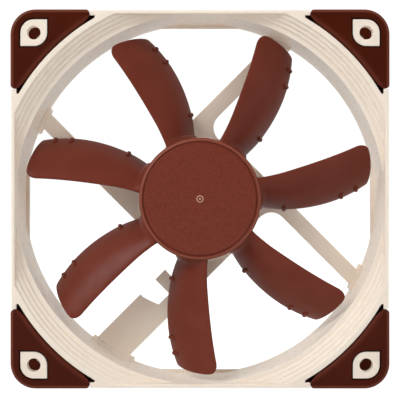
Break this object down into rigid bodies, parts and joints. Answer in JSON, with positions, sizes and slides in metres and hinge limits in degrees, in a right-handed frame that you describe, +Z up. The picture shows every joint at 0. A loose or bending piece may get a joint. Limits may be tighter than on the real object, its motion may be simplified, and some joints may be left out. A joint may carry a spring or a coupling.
{
  "type": "axial case fan",
  "caption": "Square axial cooling fan with a beige frame, dark corner pads and a free-spinning brown bladed rotor.",
  "frame": {"origin": "on the rotor axis, at mid depth, which is the centre of the fan's box", "axes": "+X to the right seen from the intake, +Z up, +Y along the rotor axis from the intake to the outlet"},
  "size_m": [0.12, 0.025, 0.12],
  "materials": {
    "frame_plastic": "fine satin moulding, warm beige",
    "pad_rubber": "matt dark brown silicone",
    "impeller_plastic": "fine satin moulding, reddish brown",
    "brass": "turned",
    "sintered_bronze": "oil-filled sintered bronze",
    "shaft_steel": "ground and polished",
    "yoke_steel": "drawn and zinc plated",
    "core_steel": "stacked laminations",
    "ferrite": "bonded ferrite",
    "nylon": "natural nylon",
    "copper_wire": "enamelled copper wire",
    "circuit_laminate": "green solder mask",
    "component_black": "moulded package",
    "capacitor_tan": "ceramic and tantalum bodies",
    "label_film": "blank satin label"
  },
  "bodies": {
    "frame": {"frame": "frame_plastic", "pad_front_upper_right": "pad_rubber", "pad_front_upper_left": "pad_rubber", "pad_front_lower_left": "pad_rubber", "pad_front_lower_right": "pad_rubber", "pad_rear_upper_right": "pad_rubber", "pad_rear_upper_left": "pad_rubber", "pad_rear_lower_left": "pad_rubber", "pad_rear_lower_right": "pad_rubber", "bearing_shell": "brass", "bearing_sleeve": "sintered_bronze", "oil_seal": "nylon", "retaining_clip": "nylon", "stabiliser_magnet": "ferrite", "thrust_plate": "nylon", "stator_core": "core_steel", "upper_insulator": "nylon", "lower_insulator": "nylon", "coil_right": "copper_wire", "coil_top": "copper_wire", "coil_left": "copper_wire", "coil_bottom": "copper_wire", "circuit_board": "circuit_laminate", "hall_sensor": "component_black", "driver_chip": "component_black", "capacitors": "capacitor_tan", "rear_label": "label_film"},
    "rotor": {"impeller": "impeller_plastic", "rotor_yoke": "yoke_steel", "rotor_magnet": "ferrite", "rotor_boss": "brass", "shaft": "shaft_steel"}
  },
  "joints": [
    {"name": "rotor_spin", "type": "hinge", "parent": "frame", "child": "rotor", "pos_m": [0, 0, 0], "axis": [0, -1, 0], "continuous": true}
  ]
}
